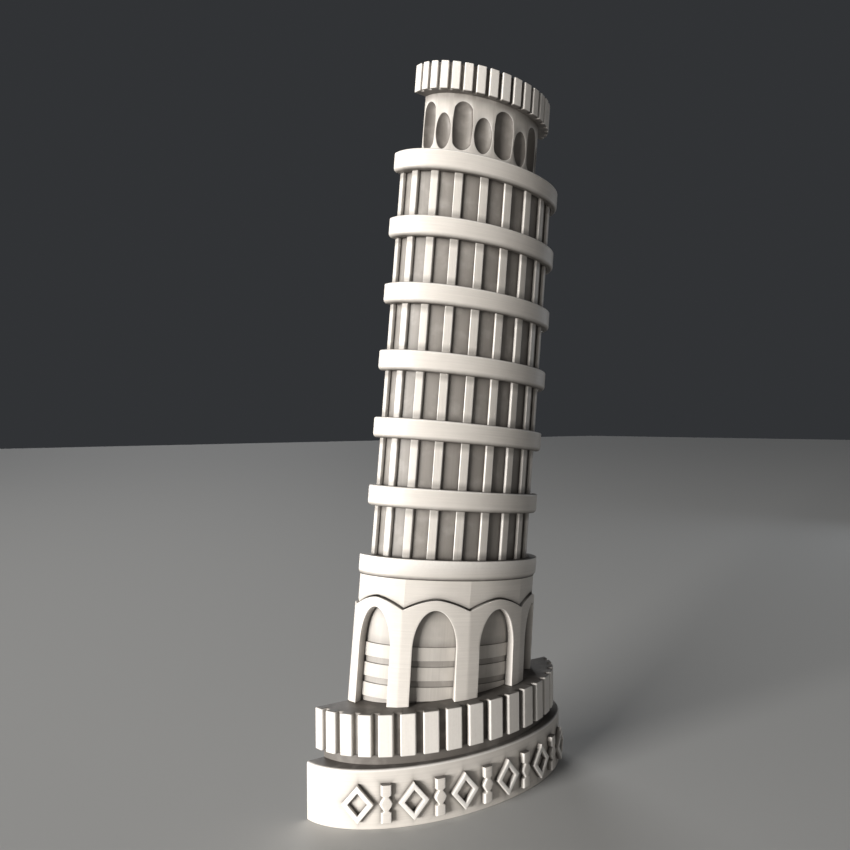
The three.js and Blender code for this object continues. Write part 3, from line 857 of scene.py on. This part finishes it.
def shellSide(sweep):
    # columns run up the left leg, over the arch's half ellipse and down the right leg; rows run
    # from the arch's edge to the side's edge, then round behind the wall and back
    legs, head = 14, 60
    ones = np.ones(legs)
    up = np.linspace(0, 1, legs)
    turn = np.linspace(0, math.pi, head)
    foot, spring, apex = arcade["foot"], arcade["spring"], arcade["apex"]
    spread = -(0.5 * np.cos(turn) + 0.5 * (1 - 2 * turn / math.pi)) * sideHalf
    archAlong = np.concatenate([-archHalf * ones, -archHalf * np.cos(turn), archHalf * ones])
    edgeAlong = np.concatenate([-sideHalf * ones, spread, sideHalf * ones])
    archLeg, edgeLeg = foot + (spring - foot) * up, foot + (valley - foot) * up
    archHead = spring + (apex - spring) * np.sin(turn)
    archTall = np.concatenate([archLeg, archHead, archLeg[::-1]])
    edgeTall = np.concatenate([edgeLeg, waveHeight(spread), edgeLeg[::-1]])
    span = np.hypot(edgeAlong - archAlong, edgeTall - archTall)
    radius, depth = arcade["edge"], arcade["thickness"]
    # the wavy edge is rounded over the arch, but not down the legs, where the next side joins on
    waveRadius = radius * np.concatenate([0 * ones, np.clip(np.sin(turn) * 6, 0, 1), 0 * ones])
    quarter = 1 - arc((0, 0), 1, 0, 90, 5)
    # (share of the way from the arch's edge to the outer edge, share of the depth)
    none = 0 * span
    rows = [(none, none + 1)]
    rows += [(radius * over / span, none + radius * down / depth) for over, down in quarter]
    near, far = radius / span, 1 - waveRadius / span
    rows += [(near + (far - near) * share, none) for share in np.linspace(0, 1, 8)[1:-1]]
    for over, down in quarter[::-1]:
        rows.append((1 - waveRadius * over / span, waveRadius * down / depth))
    outerRow = len(rows) - 1
    rows += [(none + share, none + 1) for share in (1, 0.66, 0.33, 0)]
    share, inward = (np.stack(values) for values in zip(*rows))
    along = archAlong + (edgeAlong - archAlong) * share
    tall = archTall + (edgeTall - archTall) * share
    grid = onSide(along, tall, inward, sweep, shellRadius, shellInner, arcade["batter"])
    keep = np.ones((len(rows) - 1, len(span) - 1), bool)
    keep[outerRow, :legs] = False
    keep[outerRow, -legs:] = False
    rounding = 0.2  # shares of the depth up to this lie on the rounded edges
    # lighter rounded edges, partly wear and partly painted highlight, and painted shade inside the
    # arches
    wearAndHighlight = ((inward > 0) & (inward < rounding)) * arcade["wearAndHighlight"]
    deep = np.clip(inward * 3, 0, 1) * arcade["reveal"] * (inward > rounding)
    return patch(grid, wearAndHighlight, deep, keep)


def addShell():
    # nine bulging sides with an arch in each, cut level above the gallery
    sides = [shellSide(sweep) for sweep in sideSweeps]
    cuts = (galleryCut, backCut)
    addPiece("arcadeShell", ["arcade_shell"], sides, finish["level"], cuts=cuts, sharpen=markCreases)


def drumSide(sweep):
    # heights run from the wavy edge to the top; the loop goes up the face and down inside
    along = np.linspace(-sideHalf, sideHalf, 41)
    level = np.zeros(len(along))
    bottom = waveHeight(along) + arcade["gap"]
    edge = arcade["drumEdge"]
    start = bottom + edge
    rows = [(bottom, 1.0), (bottom, edge), (bottom + edge * 0.3, edge * 0.3), (start, 0.0)]
    for share in (0.05, 0.12, 0.3, 0.6, 0.9, 1):
        rows.append((start + (drumTop - start) * share, 0.0))
    rows += [(level + drumTop, 1.0), (bottom, 1.0)]
    tall = np.stack([row[0] for row in rows])
    inward = np.stack([level + row[1] for row in rows])
    radius, inner = shellRadius - arcade["drumInset"], neckRadius + arcade["clearance"]
    grid = onSide(np.broadcast_to(along, tall.shape), tall, inward, sweep, radius, inner)
    # painted shade along the drum's foot, under the shell's wavy edge
    shade = np.exp(-(tall - bottom) / arcade["drumShadow"]) * arcade["drumPaintedShade"]
    return patch(grid, 0.0, shade)


def addDrum():
    # carries the shell's sides up from the wavy edge, a little further in
    sides = [drumSide(sweep) for sweep in sideSweeps]
    cuts = (backCut,)
    addPiece("arcadeDrum", ["arcade_drum"], sides, finish["level"], cuts=cuts, sharpen=markCreases)


def addCore():
    # raised bands on a turned core, each with its edges softly rounded, as (radius, height, painted
    # shade)
    deep, soft, near = coreRadius - bands["groove"], bands["edge"], bands["near"]
    shades = bands["shades"]
    line = [(0, arcade["foot"], 0.0), (deep, arcade["foot"], shades["lip"])]
    for i in range(bands["count"]):
        bottom = bands["bottom"] + bands["pitch"] * i
        top = bottom + bands["height"]
        line += [(deep, bottom - near, shades["groove"]), (deep, bottom, shades["corner"])]
        lower = arc((coreRadius - soft, bottom + soft), soft, -90, 0, 4)
        upper = arc((coreRadius - soft, top - soft), soft, 0, 90, 4)
        face = profile(lower, upper)
        line += [(*spot, shades["lip"] * (n == 0)) for n, spot in enumerate(face)]
        line += [(deep, top, shades["corner"]), (deep, top + near, shades["groove"])]
    head = valley + arcade["gap"] - 0.1
    line += [(deep, top + 2, shades["wall"]), (deep, head - 3, shades["wall"])]
    line += [(deep, head, shades["head"]), (neckRadius, head, 0.0), (neckRadius, coreTop, 0.0)]
    line = profile(line, [(0, coreTop, 0.0)])
    grid = patch(turnedHalf(line[:, :2], 160), 0.0, line[:, 2:])
    addPiece("arcadeCore", ["arcade_core"], [grid], finish["core"], cuts=(galleryCut,))


addShell()
addDrum()
addCore()
print("arcade made")


# ---- storeys: cornices, drums and columns
storeys = {
    "count": 6,
    "recess": 1.0,  # how deep the storeys stand in the cornices
    "clearance": 0.3,
    "lowerRound": 1.0,
    "upperRound": 0.5,
    "firstChamfer": [(0.5, 0.0), (0.275, 0.34), (0.06, 0.7225), (0.0, 0.935)],  # in, up
    "firstEdge": 0.22,
    # lighter corners: partly wear, partly painted highlight
    "cornerWearAndHighlight": 0.7,
    "columnWidth": 2.3,
    "columnEdge": 0.26,
    "columnWearAndHighlight": 0.8,
    "firstColumn": 1.8,
    "columnPitch": 18.0,
    "rail": 0.7,
    "railSweeps": (-3, 183),  # degrees; beyond the back, where they are cut
}
# painted shade on the storey drums: all over, beside the columns and towards the cornices
drumShade = {
    "all": 0.7,
    "beside": 0.75,  # beside the columns, with how far it reaches
    "besideReach": 0.6,
    "ends": 0.8,
    "endsReach": 0.9,
}


def addCornice(number):
    # a turned slab, rounded more below than above, with a recess for the storey on either side;
    # the lowest one is chamfered below
    node = "cornice_%d" % number
    radius, bottom, top = towerSpan(node)
    columns = towerSpan("colonnade_1")[0] + storeys["clearance"]
    below, above = columns, columns
    lower, upper = storeys["lowerRound"], storeys["upperRound"]
    if number == 1:
        below = neckRadius + storeys["clearance"]
        soft = storeys["firstEdge"]
        edge = profile(
            [(radius - inset, bottom + up) for inset, up in storeys["firstChamfer"]],
            arc((radius - soft, top - soft), soft, 0, 90, 5),
        )
    else:
        edge = profile(
            arc((radius - lower, bottom + lower), lower, -90, 0, 9),
            arc((radius - upper, top - upper), upper, 0, 90, 7),
        )
    if number == storeys["count"] + 1:
        above = towerSpan("bell_chamber")[0] + storeys["clearance"]
    floor, ceiling = bottom + storeys["recess"], top - storeys["recess"]
    section = profile(
        [(0, floor), (below, floor), (below, bottom)],
        edge,
        [(above, top), (above, ceiling), (0, ceiling)],
    )
    shown = np.zeros(len(section))
    shown[3:-3] = 1
    # a lighter top corner, partly wear and partly painted highlight, and painted shade on the lower
    # rounding
    rubbedAndHighlight = shown * (section[:, 0] > radius - upper) * (section[:, 1] > top - upper)
    underShade = shown * np.clip(1 - (section[:, 1] - bottom) / lower, 0, 1) ** 1.3
    wearAndHighlight = rubbedAndHighlight[:, None] * storeys["cornerWearAndHighlight"]
    grid = patch(turnedHalf(section, 150), wearAndHighlight, underShade[:, None])
    addPiece("cornice%d" % number, [node], [grid], finish["level"])


def addStoreyDrum(number):
    # a half cylinder; painted shade lies beside the columns, under the cornice above and on the one
    # below, each falling off as exp(-distance / reach)
    node = "storey_drum_%d" % number
    radius, bottom, top = towerSpan(node)
    section = profile([(0, bottom)], [(radius, z) for z in np.linspace(bottom, top, 49)], [(0, top)])
    fromEnd = np.minimum(section[:, 1] - bottom, top - section[:, 1]) - storeys["recess"]
    pitch = storeys["columnPitch"]
    sweep = np.linspace(0, 180, 361) - storeys["firstColumn"]
    away = np.abs((sweep + pitch / 2) % pitch - pitch / 2) * math.radians(1) * radius
    fromSide = np.maximum(away - storeys["columnWidth"] / 2, 0)
    beside = drumShade["beside"] * np.exp(-fromSide / drumShade["besideReach"])
    ends = drumShade["ends"] * np.exp(-np.maximum(fromEnd, 0) / drumShade["endsReach"])
    shade = 1 - (1 - drumShade["all"]) * (1 - beside[None]) * (1 - ends[:, None])
    grid = patch(turnedHalf(section, 361), 0.0, shade)
    addPiece("storeyDrum%d" % number, [node], [grid], finish["drum"])


def columnPrism(sweep, radius, inner, bottom, top):
    # a flat-faced column: its plan is a rounded corner, a straight face and a rounded corner,
    # given as (mm across, radius)
    half, edge = storeys["columnWidth"] / 2, storeys["columnEdge"]
    corner = arc((half - edge, radius - edge), edge, 90, 0, 5)
    side = profile([(half, inner)], corner[::-1])
    plan = profile(side * [-1, 1], [(0.0, radius)], side[::-1], [(-half, inner)])
    across, out = plan.T
    angle = np.radians(sweep) + across / radius
    heights = np.concatenate([[bottom], np.linspace(bottom + 1, top - 1, 8), [top]])
    x, y = -out * np.cos(angle), -out * np.sin(angle) * depthRatio
    grid = np.stack(np.broadcast_arrays(x, y, heights[:, None]), axis=-1)
    rounded = (np.abs(across) > half - edge) & (out > radius - edge)
    # painted shade on the column's sides and near its ends; lighter rounded corners, partly wear and
    # partly painted highlight
    sides = np.clip((radius - out) / (radius - inner) * 1.3 - 0.3, 0, 1)
    fromEnd = np.minimum(heights - bottom, top - heights) - storeys["recess"]
    ends = np.clip(1 - fromEnd, 0, 1)[:, None] * 0.5
    shade = np.maximum(sides[None] * 0.8, ends)
    return patch(grid, rounded[None] * storeys["columnWearAndHighlight"], shade)


def addColonnade(number):
    # columns at even steps, joined by a hidden rail at the foot and at the head
    node = "colonnade_%d" % number
    radius, bottom, top = towerSpan(node)
    inner = towerSpan("storey_drum_%d" % number)[0] + storeys["clearance"]
    first, pitch, rail = storeys["firstColumn"], storeys["columnPitch"], storeys["rail"]
    patches = [
        columnPrism(first + pitch * i, radius, inner, bottom + rail, top - rail)
        for i in range(int((180 - first) / pitch) + 2)
    ]
    sweep = np.radians(np.linspace(*storeys["railSweeps"], 100))
    for low, high in ((bottom, bottom + rail), (top - rail, top)):
        ring = profile([(inner, low), (radius, low), (radius, high), (inner, high), (inner, low)])
        patches.append(patch(swung(ring, sweep)))
    addPiece("colonnade%d" % number, [node], patches, finish["upright"], cuts=(backCut,))


for number in range(1, storeys["count"] + 2):
    addCornice(number)
for number in range(1, storeys["count"] + 1):
    addStoreyDrum(number)
    addColonnade(number)
print("storeys made")


# ---- bell chamber and crown
bell = {
    "count": 9,
    "first": 11.3,
    "sill": 2.1,
    "headroom": 1.75,
    "rim": 0.46,
    "extraWidth": 0.76,  # of the tall niches over the short ones
    "extraHeight": 2.95,
    "tallDepth": 2.4,
    "shortDepth": 2.1,
    "edge": 0.14,
    "fit": 0.9,  # how far the chamber stands in the cornice below and in the crown
    # lighter niche rims: partly wear, partly painted highlight
    "wearAndHighlight": 0.6,
}
# painted shade in the niches and on the wall, most under the crown
bellShade = {
    "scoop": (0.8, 0.15),  # in the middle of a niche, and how much more at its rim
    "field": 0.1,
    "wall": 0.24,
    "under": 0.62,  # more of it just under the crown
    "underReach": 2.4,
}
crownFit = 0.002  # keeps its blocks inside the casting's box


def nicheCell(sweep, radius, bottom, top, isTall):
    # rings run from the middle of the scoop, part of a sphere, to its rim and on to the four
    # sides of the cell; every ring starts at the cell's lower left corner
    halfTurn = math.radians(180 / bell["count"] / 2)
    cellHalf = radius * halfTurn
    sill = bottom + bell["fit"] + bell["sill"]
    height = top - bell["fit"] - bell["headroom"] - sill
    half = (2 * radius * math.sin(halfTurn) - bell["rim"] - bell["extraWidth"] / 2) / 2
    depth = bell["shortDepth"]
    if isTall:
        half += bell["extraWidth"] / 2
        depth = bell["tallDepth"]
    else:
        height -= bell["extraHeight"]
    centre = sill + height / 2
    s = np.linspace(0, 4, 81)
    left, right = (-cellHalf, bottom), (cellHalf, bottom)
    corners = np.array([left, right, (cellHalf, top), (-cellHalf, top), left])
    edge = np.stack([np.interp(s, range(5), corners[:, i]) for i in (0, 1)], axis=1)
    # the rim is an ellipse for a short niche; a tall one's halves part to leave straight sides
    angle = np.radians(225 + 90 * s)
    rimX, rimZ = np.cos(angle), np.sin(angle)
    tall = half if isTall else height / 2
    lift = np.clip(rimZ * 2.2, -1, 1) * (height / 2 - tall)
    sphere = (half**2 + depth**2) / (2 * depth)
    middleShade, rimShade = bellShade["scoop"]
    rings = []  # (points, how deep they lie, wear and painted highlight, painted shade)
    for share in np.linspace(0, 1, 15) ** 0.8:
        ring = np.stack([half * share * rimX, centre + lift + tall * share * rimZ], axis=1)
        if share == 0:
            ring[:, 0] = 0
        inset = math.sqrt(sphere**2 - (share * half) ** 2) - math.sqrt(sphere**2 - half**2)
        rings.append((ring, inset, 0.0, middleShade + rimShade * share**4))
    rim, _, _, shade = rings.pop()
    rings.append((rim, bell["edge"], 1.0, shade))
    outward = edge - rim
    outward /= np.linalg.norm(outward, axis=1, keepdims=True)
    for push, inset, wearAndHighlight in ((0.5, 0.3, 1.0), (1.2, 0.0, 0.6)):
        rings.append((rim + outward * bell["edge"] * push, bell["edge"] * inset, wearAndHighlight, 0.0))
    start = rings[-1][0]
    for share in (0.35, 0.7, 1):
        rings.append((start + (edge - start) * share, 0.0, 0.0, bellShade["field"]))
    place, insets, wearsAndHighlights, shades = (np.array(values) for values in zip(*rings))
    out = radius - insets[:, None]
    turn = math.radians(sweep) + place[..., 0] / radius
    grid = np.stack([-out * np.cos(turn), -out * np.sin(turn) * depthRatio, place[..., 1]], axis=-1)
    # painted shade under the crown
    drop = (top - bell["fit"] - place[..., 1]) / bellShade["underReach"]
    under = bellShade["wall"] + np.clip(1 - drop, 0, 1) * bellShade["under"]
    return patch(grid, wearsAndHighlights[:, None] * bell["wearAndHighlight"], np.maximum(shades[:, None], under))


def addBellChamber():
    # a ring of tall and short niches in turn, cut at the flat back
    span = towerSpan("bell_chamber")
    sweeps = [bell["first"] + 180 / bell["count"] * i for i in range(2 * bell["count"])]
    cells = [nicheCell(sweep, *span, i % 2 == 0) for i, sweep in enumerate(sweeps)]
    addPiece("bellChamber", ["bell_chamber"], cells, finish["upright"], cuts=(backCut,))


def addCrown():
    # the gallery's blocks again, smaller and on the tower's own ellipse
    radius, bottom, top = towerSpan("crown")
    radius -= crownFit
    plan = (radius, radius * depthRatio, 0.0)
    spot = (plan, bottom, top)
    addBlocks("crownBlocks", "crown", *spot, crownBlocks, finish["upright"], leaned)


addBellChamber()
addCrown()
print("bell chamber and crown made")


# ---- stage: pale floor, one large soft light from the left, two weak ones and a sun behind
stage = {
    "floor": (0.56, 0.56, 0.55, 1),
    "floorHalf": 3,  # metres
    "floorRoughness": 0.85,
    "world": (0.62, 0.66, 0.72, 1),
    "worldStrength": 0.05,
    "aim": (0, 0, 0.085),
    "lights": [
        # name, place, width, height, watts, colour
        ("key", (-1.44, -0.32, 0.2), 0.68, 0.38, 43.0, (1.0, 0.975, 0.94)),
        ("front", (0.1, -0.7, 0.12), 0.4, 0.14, 0.22, (1.0, 0.93, 0.86)),
        ("side", (0.55, 0.05, 0.16), 0.2, 0.2, 0.1, (0.85, 0.92, 1.0)),
    ],
    "behind": {"place": (0.5, 1.9, 0.55), "spread": 0.6, "strength": 1.1},  # for the flat back
}


def addLamp(name, data, place, aim):
    # turns a lamp towards its aim, with its width level
    ahead = np.array(aim, float) - np.array(place)
    ahead /= np.linalg.norm(ahead)
    right = np.cross(ahead, [0, 0, 1])
    right /= np.linalg.norm(right)
    addAimed(name, data, place, right, np.cross(right, ahead), ahead)


def addStage():
    side = np.linspace(-stage["floorHalf"], stage["floorHalf"], 9)
    x, y = np.meshgrid(side, side, indexing="ij")
    points, quads, _, _ = patch(np.stack([x, y, 0 * x], axis=-1))
    mesh = bpy.data.meshes.new("floor")
    mesh.from_pydata(points.tolist(), [], quads[:, ::-1].tolist())
    material = bpy.data.materials.new("paleFloor")
    material.use_nodes = True
    shader = material.node_tree.nodes["Principled BSDF"]
    shader.inputs["Base Color"].default_value = stage["floor"]
    shader.inputs["Roughness"].default_value = stage["floorRoughness"]
    mesh.materials.append(material)
    floor = addItem("floor", mesh)

    world = bpy.data.worlds.new("studio")
    world.use_nodes = True
    background = world.node_tree.nodes["Background"]
    background.inputs[0].default_value = stage["world"]
    background.inputs[1].default_value = stage["worldStrength"]
    bpy.context.scene.world = world

    for name, place, width, height, watts, colour in stage["lights"]:
        data = bpy.data.lights.new(name, "AREA")
        data.shape = "RECTANGLE"
        data.size, data.size_y = width, height
        data.energy = watts
        data.color = colour
        addLamp(name, data, place, stage["aim"])
    behind = stage["behind"]
    data = bpy.data.lights.new("behind", "SUN")
    data.angle = behind["spread"]
    data.energy = behind["strength"]
    addLamp("behind", data, behind["place"], (0, 0, 0))
    bpy.context.scene.view_settings.view_transform = "Standard"


addStage()
print("stage set")
